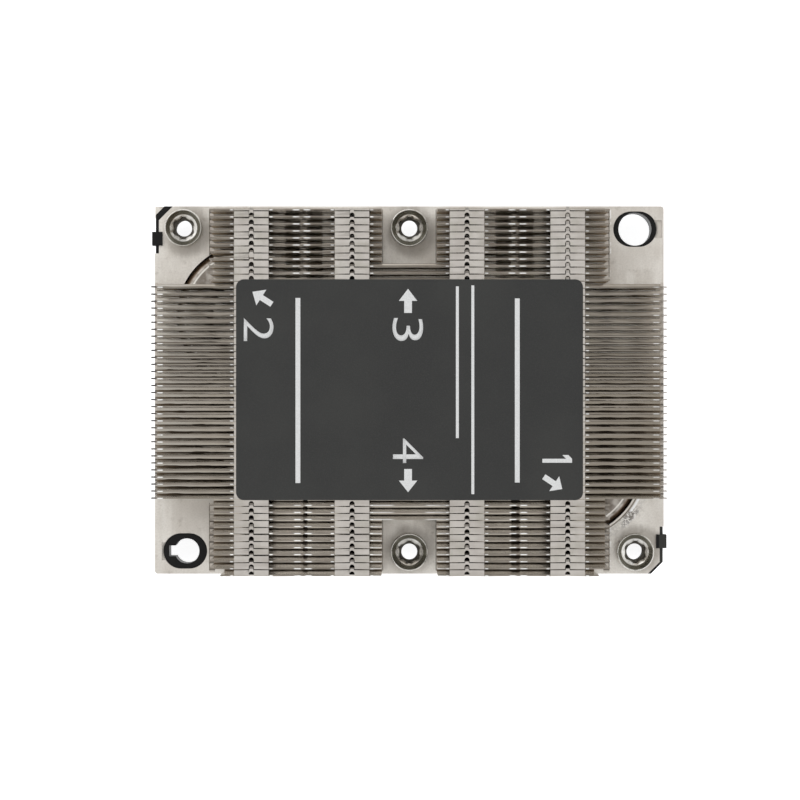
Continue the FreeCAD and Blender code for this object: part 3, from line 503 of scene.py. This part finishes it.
# The feet are painted darker as shade on the channel floors, most to the right and towards the front of the outer
# ends, and painted lighter towards the open left ends, where light gets in.
foot_colour = blend_colour(tree, shade, tone(180, 171, 158), tone(206, 198, 186))
foot_colour = blend_colour(tree, ramp(tree, across, -42.0, -52.0), foot_colour, tone(206, 200, 190))
floor_shade = calc(tree, "MULTIPLY", ramp(tree, aside, 36.5, 38.5), ramp(tree, rearward, 16.0, 6.0, 0.12, 0.4))
floor_shade = calc(tree, "ADD", ramp(tree, across, -25.0, 35.0, 0.0, 0.26), floor_shade)
foot_colour = blend_colour(tree, floor_shade, foot_colour, tone(118, 109, 95))
at_foot = ramp(tree, upward, PLATE_TOP + 0.9, PLATE_TOP + 0.4)
low_colour = blend_colour(tree, at_foot, web_colour, foot_colour)
# The tops: brushed tabs, edges between them painted dark as shade, and painted highlights on the edges beside the
# folds.
on_top = ramp(tree, upward, FIN_TOP - 0.5, FIN_TOP - 0.3)
in_tab = ramp(tree, off_column, TAB_HALF + 0.04, TAB_HALF - 0.02)
tab_colour = blend_colour(tree, shade, tone(184, 177, 169), tone(208, 202, 194))
tarnish = ramp(tree, noise(tree, place, 300, 3.0, 0.6), 0.45, 0.7, 0.0, 0.4)
tab_colour = blend_colour(tree, tarnish, tab_colour, tone(172, 168, 154))
edge_colour = blend_colour(tree, shade, tone(128, 120, 109), tone(156, 148, 137))
# The tips of the fins are painted in shade at the left ends and painted light at the right ends.
edge_colour = blend_colour(tree, ramp(tree, across, -52.3, -52.6), edge_colour, tone(84, 79, 76))
edge_colour = blend_colour(tree, ramp(tree, across, 52.3, 52.6), edge_colour, tone(186, 180, 174))
strong_highlights = calc_all(tree, "MAXIMUM", between(tree, off_column, 3.75, 4.4, 0.15),
                    between(tree, off_middle, 0.45, 1.8, 0.25), between(tree, across, -52.2, -51.1, 0.15))
beside_nuts = calc(tree, "MULTIPLY", between(tree, aside, 3.4, 8.3, 0.6), ramp(tree, rearward, -21.5, -22.5))
faint_highlights = calc(tree, "MAXIMUM", between(tree, across, 50.5, 51.7, 0.2), beside_nuts)
edge_highlight = calc(tree, "MAXIMUM", strong_highlights, calc(tree, "MULTIPLY", faint_highlights, 0.55))
edge_highlight = calc_all(tree, "MULTIPLY", edge_highlight, ramp(tree, wander, 0.35, 0.5, 0.6, 1.0),
                  ramp(tree, in_pitch, 0.16, 0.12))
edge_colour = blend_colour(tree, edge_highlight, edge_colour, tone(255, 254, 250))
top_colour = blend_colour(tree, in_tab, edge_colour, tab_colour)
fin_colour = blend_colour(tree, on_top, low_colour, top_colour)
# Painted shade, in a brown colour, lies along the root of every web, and in a band on the fronts of the rear webs.
# It is thin and even in front. At the sides it widens here and there, on the right in two places of each row, and
# it is thick in two patches of every rear bay.
swell = ramp(tree, noise(tree, stretched(tree, place, STEADY), 1.0, 2.0, 0.5), 0.5, 0.66)
lens = calc(tree, "MAXIMUM", between(tree, across, 40.4, 43.2, 1.1), between(tree, across, 46.6, 49.6, 1.1))
lens = calc(tree, "MULTIPLY", lens, ramp(tree, noise(tree, stretched(tree, place, SLOW), 1.0), 0.35, 0.6))
swell = blend_number(tree, ramp(tree, across, 36.0, 38.0), swell, lens)
swell = calc(tree, "MAXIMUM", swell, ramp(tree, aside, 9.0, 8.0, 0.0, 0.7))
swell = calc(tree, "MULTIPLY_ADD", swell, 0.11, ramp(tree, aside, 35.0, 38.0, 0.13, 0.18))
half_line = blend_number(tree, ramp(tree, rearward, -21.5, -23.0), swell, 0.13)
half_line = calc(tree, "ADD", half_line, ramp(tree, wander, 0.3, 0.7, -0.02, 0.02))
front_right = calc(tree, "MULTIPLY", ramp(tree, across, -5.0, 5.0), ramp(tree, rearward, 5.0, -5.0))
spot = ramp(tree, calc(tree, "SUBTRACT", off_middle, calc(tree, "MULTIPLY", front_right, 0.45)), 0.55, 0.3)
patchy = ramp(tree, noise(tree, stretched(tree, place, QUICK), 1.0), 0.3, 0.6, 0.5, 1.0)
spread = calc_all(tree, "MULTIPLY", between(tree, off_middle, 0.8, 3.9, 0.45), ramp(tree, rearward, 19.0, 29.0),
                  patchy)
# On the foot the painted shade lies in a strip next to the web and in another under the free edge.
off_root = gap_from(tree, from_front, ramp(tree, rearward, -16.0, -23.0, 0.53, 0.43))
root_half = calc(tree, "MULTIPLY_ADD", calc(tree, "MAXIMUM", spot, spread), 0.27, half_line)
root_shade = ramp(tree, calc(tree, "SUBTRACT", off_root, root_half), 0.05, -0.05)
free_edge = calc(tree, "MULTIPLY_ADD", spread, -0.28, 1.3)
free_edge_shade = ramp(tree, calc(tree, "SUBTRACT", from_front, free_edge), -0.05, 0.05)
foot_shade = calc(tree, "MULTIPLY", calc(tree, "MAXIMUM", root_shade, free_edge_shade), at_foot)
# On the web's faces the painted shade forms a band half way up, which reaches down to the foot in the patches.
web_line = calc(tree, "SUBTRACT", gap_from(tree, upward, WEB_SHADE_HEIGHT),
                calc(tree, "MULTIPLY", half_line, WEB_SHADE_STRETCH))
web_patch = calc(tree, "SUBTRACT", upward, calc(tree, "MULTIPLY_ADD", spread, 10.0, PLATE_TOP - 1.0))
on_faces = ramp(tree, calc(tree, "PINGPONG", in_pitch, 0.5), 0.12, 0.1)
web_shade_band = calc_all(tree, "MULTIPLY", ramp(tree, calc(tree, "MINIMUM", web_line, web_patch), 1.0, -1.0),
                    ramp(tree, rearward, 0.0, 4.0), ramp(tree, aside, 52.6, 50.6), on_faces)
# Inside the tab columns the channels are closed above, so everything under the tabs is painted as shade, lighter
# in patches.
under_tab_shade = calc_all(tree, "MULTIPLY", ramp(tree, off_column, TAB_HALF - 1.8, TAB_HALF - 2.1),
                  ramp(tree, upward, FIN_TOP - 0.42, FIN_TOP - 0.55), between(tree, rearward, -38.1, 37.3, 0.05))
painted_channel_shade = calc_all(tree, "MAXIMUM", under_tab_shade, foot_shade, web_shade_band)
shade_and_solder_colour = blend_colour(tree, at_foot, tone(196, 174, 146), tone(140, 121, 98))
pale = calc(tree, "MULTIPLY", spread, ramp(tree, rearward, 37.25, 37.15))
shade_and_solder_colour = blend_colour(tree, pale, shade_and_solder_colour, tone(236, 222, 196))
lighter_patches = ramp(tree, noise(tree, stretched(tree, place, (40, 500, 1)), 1.0), 0.5, 0.62)
under_tab_shade_colour = blend_colour(tree, lighter_patches, tone(58, 51, 42), tone(168, 160, 150))
shade_and_solder_colour = blend_colour(tree, under_tab_shade, shade_and_solder_colour, under_tab_shade_colour)
fin_colour = blend_colour(tree, painted_channel_shade, fin_colour, shade_and_solder_colour)
tree.links.new(fin_colour, shader.inputs["Base Color"])
tree.links.new(calc(tree, "MULTIPLY_ADD", painted_channel_shade, -0.8, 1.0), shader.inputs["Metallic"])
outermost = calc(tree, "MAXIMUM", ramp(tree, rearward, 37.38, 37.44, 0.12, 0.3),
                 ramp(tree, rearward, -38.42, -38.5, 0.12, 0.3))
fin_roughness = calc_all(tree, "MAXIMUM", calc(tree, "MULTIPLY", painted_channel_shade, 0.55), outermost,
                         ramp(tree, on_top, 0.0, 1.0, 0.12, 0.42))
tree.links.new(fin_roughness, shader.inputs["Roughness"])
bump(tree, shader, grain["Height"], 0.1, 0.00001)

for count, row in enumerate(LONG_ROWS, start=1):
    # The rearmost three are the most bent.
    sheet = folded_fin(row, -LONG_END, LONG_RIGHT_END, sway=0.08 if count < 4 else 0.03)
    with_sheet_thickness(finished_piece(f"folded_fin_{count:02d}", sheet, fin_skin,
                                        replaces=[f"fin_long_{count:02d}"]))
for side, rows in MEDIUM_ROWS.items():
    for count, row in enumerate(rows, start=1):
        sheet = folded_fin(row, -MEDIUM_END, MEDIUM_END)
        with_sheet_thickness(finished_piece(f"medium_fin_{side}_{count}", sheet, fin_skin,
                                            replaces=[f"fin_medium_{side}_{count}"]))
for side, rows in SHORT_ROWS.items():
    for hand, x_low, x_high in (("left", -MEDIUM_END, -SHORT_INNER_END), ("right", SHORT_INNER_END, MEDIUM_END)):
        block = bmesh.new()
        for row in rows:
            # The last row of all is a little shorter than the others.
            trim = LAST_ROW_END / MEDIUM_END if row == ROWS - 1 else 1.0
            ends = (x_low * trim, x_high) if hand == "left" else (x_low, x_high * trim)
            block.from_mesh(folded_fin(row, *ends, tabs=row > 0))
        mesh = bpy.data.meshes.new("block")
        block.to_mesh(mesh)
        block.free()
        with_sheet_thickness(finished_piece(f"short_fin_block_{side}_{hand}", mesh, fin_skin,
                                            replaces=[f"short_fins_{side}_{hand}"]))

# ---------------------------------------------------------------------------------------------------
# Label: one sheet of matte dark film with rounded corners, stuck on the fin tops. Its print is pale ink:
# four numerals, four arrows and plain bars.
LABEL_HALF_LENGTH = 35.9
LABEL_HALF_DEPTH = 22.85
LABEL_CORNER = 1.6
LABEL_TOP = 25.63
INK_TOP = 25.645
bm = bmesh.new()
bmesh.ops.create_grid(bm, x_segments=1, y_segments=1, size=1.0)
bmesh.ops.scale(bm, verts=bm.verts, vec=(LABEL_HALF_LENGTH, LABEL_HALF_DEPTH, 1))
bmesh.ops.bevel(bm, geom=bm.verts[:], offset=LABEL_CORNER, offset_type="OFFSET", segments=6, profile=0.5,
                affect="VERTICES", material=-1)
step = bmesh.ops.extrude_face_region(bm, geom=bm.faces[:])
bmesh.ops.translate(bm, verts=points_of(step), vec=(0, 0, LABEL_TOP - FIN_TOP))
bmesh.ops.translate(bm, verts=bm.verts, vec=(0, 0, FIN_TOP))
bmesh.ops.recalc_face_normals(bm, faces=bm.faces)
mesh = mesh_in_metres(bm, "label_sheet")
film, tree, shader, place = new_material("dark_film", 0.0, 0.62)
fleck = noise(tree, place, 5200, 2.0, 0.5)
haze = noise(tree, place, 60, 3.0, 0.5)
film_colour = blend_colour(tree, ramp(tree, haze, 0.3, 0.7), tone(38, 38, 36), tone(46, 46, 43))
film_colour = blend_colour(tree, ramp(tree, fleck, 0.4, 0.75, 0.0, 0.35), film_colour, tone(62, 61, 58))
tree.links.new(film_colour, shader.inputs["Base Color"])
bump(tree, shader, fleck, 0.12, 0.00002)
finished_piece("label_sheet", mesh, film, replaces=["label"], smooth_angle=35)

ink, tree, shader, place = new_material("pale_ink", 0.0, 0.55)
speck = noise(tree, place, 4200, 3.0, 0.6)
tree.links.new(blend_colour(tree, ramp(tree, speck, 0.3, 0.7), tone(220, 220, 218), tone(236, 236, 234)),
               shader.inputs["Base Color"])
bump(tree, shader, speck, 0.1, 0.00001)

# The ink's places, each left, right, front and rear edge, in millimetres from the middle.
NUMERALS = (("2", -34.33, -28.16, 10.08, 14.93), ("3", -3.52, 2.8, 10.1, 14.85),
            ("4", -3.42, 2.8, -15.15, -10.1))
STROKE_THINNED = -0.007
# Plain bars of the same ink, with the same four edges. The last two draw the numeral 1, whose flag leans
# back.
FLAG_LEAN = 0.75
BARS = ((-23.6, -22.6, -19.3, 19.0), (9.6, 10.2, -10.0, 21.4), (12.8, 13.4, -21.6, 21.6),
        (21.8, 22.8, -19.2, 18.9), (27.5, 33.64, -15.1, -14.28), (32.4, 33.64, -14.28, -13.5))
bm = bmesh.new()
for numeral, left, right, low, high in NUMERALS:
    curve = bpy.data.curves.new("numeral", "FONT")
    curve.body = numeral
    curve.offset = STROKE_THINNED
    sample = bpy.data.objects.new("numeral", curve)
    bpy.context.scene.collection.objects.link(sample)
    glyph = bpy.data.meshes.new_from_object(sample.evaluated_get(bpy.context.evaluated_depsgraph_get()))
    bpy.data.objects.remove(sample)
    before = len(bm.verts)
    bm.from_mesh(glyph)
    bm.verts.ensure_lookup_table()
    fresh = bm.verts[before:]
    bmesh.ops.rotate(bm, verts=fresh, cent=(0, 0, 0), matrix=Matrix.Rotation(-math.pi / 2, 3, "Z"))
    x_edges = [min(v.co.x for v in fresh), max(v.co.x for v in fresh)]
    y_edges = [min(v.co.y for v in fresh), max(v.co.y for v in fresh)]
    size = ((right - left) / (x_edges[1] - x_edges[0]), (high - low) / (y_edges[1] - y_edges[0]), 1)
    bmesh.ops.translate(bm, verts=fresh, vec=(-x_edges[0], -y_edges[0], 0))
    bmesh.ops.scale(bm, verts=fresh, vec=size)
    bmesh.ops.translate(bm, verts=fresh, vec=(left, low, 0))

for left, right, low, high in BARS:
    bar = bmesh.ops.create_grid(bm, x_segments=1, y_segments=1, size=0.5, matrix=Matrix.LocRotScale(
        Vector(((left + right) / 2, (low + high) / 2, 0)), None, Vector((right - left, high - low, 1))))["verts"]
bmesh.ops.translate(bm, verts=[v for v in bar if v.co.y > -14], vec=(-FLAG_LEAN, 0, 0))

# The arrows: turn in degrees, middle, length, head width, head length and shaft width.
ARROWS = ((0.0, -0.3, 18.4, 5.0, 3.8, 2.5, 1.6), (180.0, -0.3, -18.8, 4.8, 3.8, 2.4, 1.6),
          (57.3, -30.5, 18.98, 4.8, 3.85, 2.2, 1.2), (236.2, 29.7, -19.27, 4.6, 3.7, 2.0, 1.2))
for turn, x, y, length, width, head_length, shaft in ARROWS:
    blank = bmesh.ops.create_grid(bm, x_segments=1, y_segments=1, size=0.5,
                                  matrix=Matrix.Diagonal((shaft, length - head_length, 1, 1)))["verts"]
    bmesh.ops.translate(bm, verts=blank, vec=(0, -head_length / 2, 0))
    head = bmesh.ops.create_circle(bm, cap_ends=True, segments=3, radius=0.5)["verts"]
    tip = max(head, key=lambda v: v.co.y)
    for corner in head:
        corner.co = (0, length / 2, 0) if corner == tip else (math.copysign(width / 2, corner.co.x),
                                                              length / 2 - head_length, 0)
    both = blank + head
    bmesh.ops.rotate(bm, verts=both, cent=(0, 0, 0), matrix=Matrix.Rotation(math.radians(turn), 3, "Z"))
    bmesh.ops.translate(bm, verts=both, vec=(x, y, 0))
step = bmesh.ops.extrude_face_region(bm, geom=bm.faces[:])
bmesh.ops.translate(bm, verts=points_of(step), vec=(0, 0, INK_TOP - LABEL_TOP))
bmesh.ops.translate(bm, verts=bm.verts, vec=(0, 0, LABEL_TOP))
bmesh.ops.recalc_face_normals(bm, faces=bm.faces)
finished_piece("label_ink", mesh_in_metres(bm, "label_ink"), ink)

# ---------------------------------------------------------------------------------------------------
# Processor clip: one black plastic moulding under the plate. Its frame holds the processor, its straps
# and hooks wrap two corners of the plate, and its two rings line the guide holes.
CLIP_EDGE_BREAK = 0.15
moulding, tree, shader, place = new_material("black_moulding", 0.0, 0.42)
shader.inputs["Specular IOR Level"].default_value = 0.2
texture = noise(tree, place, 2600, 3.0, 0.6)
rub = ramp(tree, noise(tree, place, 300, 4.0, 0.6), 0.5, 0.75)
clip_colour = blend_colour(tree, rub, tone(14, 13, 12), tone(26, 25, 23))
across = in_millimetres(tree, place)[1]
clip_colour = blend_colour(tree, ramp(tree, across, 52.9, 53.0), clip_colour, tone(58, 58, 54))
tree.links.new(clip_colour, shader.inputs["Base Color"])
tree.links.new(ramp(tree, rub, 0.0, 1.0, 0.38, 0.55), shader.inputs["Roughness"])
bump(tree, shader, texture, 0.25, 0.00003)
finished_piece("clip_moulding", edge_broken_copy("processor_clip", CLIP_EDGE_BREAK), moulding,
               replaces=["processor_clip"], smooth_angle=20)

# ---------------------------------------------------------------------------------------------------
# Captive nuts: turned from steel bar and nickel plated, with a chamfered rim, a funnel and a six-lobe
# socket for the driver. Each hangs in its hole in the plate and turns freely.
NUT_SEGMENTS = 72
LOBE_COUNT = 6
LOBE_SHARPNESS = 1.6
# Each loop of the nut: its radius, its height and how deep its six lobes are.
NUT_LOOPS = ((2.6, 5.0, 0.0), (3.72, 5.0, 0.0), (3.92, 5.2, 0.0), (3.92, 9.36, 0.0), (3.9, 9.44, 0.0),
             (3.85, 9.49, 0.0), (3.81, 9.5, 0.0), (3.74, 9.5, 0.0), (3.67, 9.44, 0.0), (2.96, 8.6, 0.0),
             (2.86, 8.52, 0.0), (2.74, 8.47, 0.0), (2.34, 8.33, 0.1), (2.24, 8.2, 0.19), (2.2, 8.0, 0.21),
             (2.18, 5.6, 0.21), (2.0, 5.5, 0.1), (1.74, 5.5, 0.0), (1.68, 5.4, 0.0), (1.68, 4.9, 0.0),
             (2.05, 4.6, 0.0), (2.05, -3.2, 0.0), (2.15, -3.3, 0.0), (2.45, -3.3, 0.0), (2.6, -3.1, 0.0))


def turned_ring(loops, x, y, segments):
    """A closed ring drawn loop by loop round an upright axis, each loop with its lobes."""
    bm = bmesh.new()
    ring = bmesh.ops.create_circle(bm, cap_ends=False, segments=segments, radius=1.0)["verts"]
    edges = bm.edges[:]
    for index, (radius, height, lobes) in enumerate(loops + loops[:1]):
        if index:
            step = bmesh.ops.extrude_edge_only(bm, edges=edges)
            edges, ring = edges_of(step), points_of(step)
        for corner in ring:
            turn = math.atan2(corner.co.y, corner.co.x)
            wave = (0.5 + 0.5 * math.cos(LOBE_COUNT * (turn - math.pi / 2))) ** LOBE_SHARPNESS
            reach = radius + lobes * (2 * wave - 1)
            corner.co = (reach * math.cos(turn), reach * math.sin(turn), height)
    bmesh.ops.remove_doubles(bm, verts=bm.verts, dist=0.001)
    bmesh.ops.recalc_face_normals(bm, faces=bm.faces)
    bmesh.ops.translate(bm, verts=bm.verts, vec=(x, y, 0))
    return mesh_in_metres(bm, "ring")


nut_skin, tree, shader, place = new_material("nut_plating", 1.0, 0.26)
scaled, _, _, upward = in_millimetres(tree, place)
turning = noise(tree, stretched(tree, place, (200, 200, 2600)), 1.0, 3.0, 0.6)
nut_colour = blend_colour(tree, ramp(tree, turning, 0.3, 0.7), tone(206, 202, 193), tone(244, 241, 234))
grime = ramp(tree, noise(tree, place, 900, 4.0, 0.6), 0.5, 0.72, 0.0, 0.55)
nut_colour = blend_colour(tree, grime, nut_colour, tone(120, 113, 101))
# The rim is rubbed pale, the steep bevel under it is stained, and old grease lies black in the socket.
nut_colour = blend_colour(tree, between(tree, upward, 8.58, 9.4, 0.05), nut_colour, tone(140, 137, 126))
grease = ramp(tree, upward, 8.28, 8.12)
off_axis = gap_to_nearest(tree, in_plan(tree, scaled), [(x, y, 0.0) for x, y in NUTS.values()])
grease = calc(tree, "MULTIPLY", grease, ramp(tree, off_axis, 2.9, 2.7))
nut_colour = blend_colour(tree, grease, nut_colour, tone(118, 113, 102))
tree.links.new(nut_colour, shader.inputs["Base Color"])
tree.links.new(calc(tree, "SUBTRACT", 1.0, grease), shader.inputs["Metallic"])
nut_roughness = calc(tree, "MAXIMUM", calc(tree, "MULTIPLY", grease, 0.6), ramp(tree, turning, 0.3, 0.7, 0.3, 0.2))
tree.links.new(nut_roughness, shader.inputs["Roughness"])
bump(tree, shader, turning, 0.15, 0.00002)
for name, (x, y) in NUTS.items():
    finished_piece(f"nut_{name}_turned", turned_ring(NUT_LOOPS, x, y, NUT_SEGMENTS), nut_skin,
                   body=f"nut_{name}", replaces=[f"captive_nut_{name}"], smooth_angle=40)

# ---------------------------------------------------------------------------------------------------
# Retaining rings: punched from spring steel and pushed on each nut's shank from below, to keep it in
# the plate.
RING_SEGMENTS = 48
RING_LOOPS = ((2.66, 0.25, 0.0), (2.72, 0.2, 0.0), (3.6, 0.2, 0.0), (3.72, 0.3, 0.0), (3.72, 0.7, 0.0),
              (3.6, 0.8, 0.0), (2.72, 0.8, 0.0), (2.66, 0.75, 0.0))
spring, tree, shader, place = new_material("spring_steel", 1.0, 0.35)
scale = noise(tree, place, 1500, 4.0, 0.6)
tree.links.new(blend_colour(tree, ramp(tree, scale, 0.3, 0.7), tone(120, 116, 110), tone(168, 164, 158)),
               shader.inputs["Base Color"])
bump(tree, shader, scale, 0.2, 0.00002)
for name, (x, y) in NUTS.items():
    finished_piece(f"ring_{name}_punched", turned_ring(RING_LOOPS, x, y, RING_SEGMENTS), spring,
                   body=f"nut_{name}", replaces=[f"retaining_ring_{name}"], smooth_angle=40)

# ---------------------------------------------------------------------------------------------------
# Floor and light: a plain pale floor just under the clip, a bright room and one broad soft lamp to the
# upper left. From below the floor is clear, so that the underside can be seen.
FLOOR_HEIGHT = -4.45
FLOOR_HALF = 1500
FLOOR_GLOW = 0.86
bm = bmesh.new()
bmesh.ops.create_grid(bm, x_segments=1, y_segments=1, size=FLOOR_HALF,
                      matrix=Matrix.Translation((0, 0, FLOOR_HEIGHT)))
mesh = mesh_in_metres(bm, "floor")
floor_paint = bpy.data.materials.new("pale_floor")
floor_paint.use_nodes = True
tree = floor_paint.node_tree
tree.nodes.remove(tree.nodes["Principled BSDF"])
path = put(tree, "ShaderNodeLightPath")
seen = calc_all(tree, "MAXIMUM", path["Is Camera Ray"], path["Is Glossy Ray"], path["Is Transmission Ray"])
glow = put(tree, "ShaderNodeEmission", {"Color": (1, 1, 1, 1),
                                        "Strength": calc(tree, "MULTIPLY", seen, FLOOR_GLOW)})[0]
matt = put(tree, "ShaderNodeBsdfDiffuse", {"Color": (0.8, 0.8, 0.8, 1)})[0]
both = put(tree, "ShaderNodeAddShader", {0: glow, 1: matt})[0]
clear = put(tree, "ShaderNodeBsdfTransparent")[0]
backfacing = put(tree, "ShaderNodeNewGeometry")["Backfacing"]
tree.links.new(put(tree, "ShaderNodeMixShader", {0: backfacing, 1: both, 2: clear})[0],
               tree.nodes["Material Output"].inputs["Surface"])
mesh.materials.append(floor_paint)
floor = bpy.data.objects.new("floor", mesh)
bpy.context.scene.collection.objects.link(floor)

room = bpy.data.worlds.new("room")
bpy.context.scene.world = room
room.use_nodes = True
tree = room.node_tree
ways = put(tree, "ShaderNodeSeparateXYZ", {0: put(tree, "ShaderNodeTexCoord")["Generated"]})
walls = ramp(tree, calc(tree, "ABSOLUTE", ways["X"]), 0.3, 0.85, 0.32, 1.0)
overhead = ramp(tree, ways["Z"], 0.35, 0.88)
tree.links.new(blend_number(tree, overhead, walls, 0.95), tree.nodes["Background"].inputs["Strength"])
tree.nodes["Background"].inputs["Color"].default_value = (0.97, 0.98, 1.0, 1)

lamp_data = bpy.data.lights.new("soft_lamp", "AREA")
lamp_data.shape = "RECTANGLE"
lamp_data.size = 0.7
lamp_data.size_y = 0.7
lamp_data.energy = 0.9
lamp = bpy.data.objects.new("soft_lamp", lamp_data)
lamp.location = (-0.45, 0.5, 0.9)
lamp.rotation_euler = (Vector((0, 0, 0)) - lamp.location).to_track_quat("-Z", "Y").to_euler()
bpy.context.scene.collection.objects.link(lamp)

# ---------------------------------------------------------------------------------------------------
# Camera: straight above the heatsink, as far off as the photograph's perspective shows, and a little off
# the middle, so that the margins agree with the photograph's.
camera_data = bpy.data.cameras.new("camera")
camera_data.sensor_width = 36
camera_data.lens = 174.9
camera = bpy.data.objects.new("camera", camera_data)
camera.location = (-0.00197, -0.00212, 0.830)
bpy.context.scene.collection.objects.link(camera)
bpy.context.scene.camera = camera
bpy.context.scene.view_settings.view_transform = "Standard"
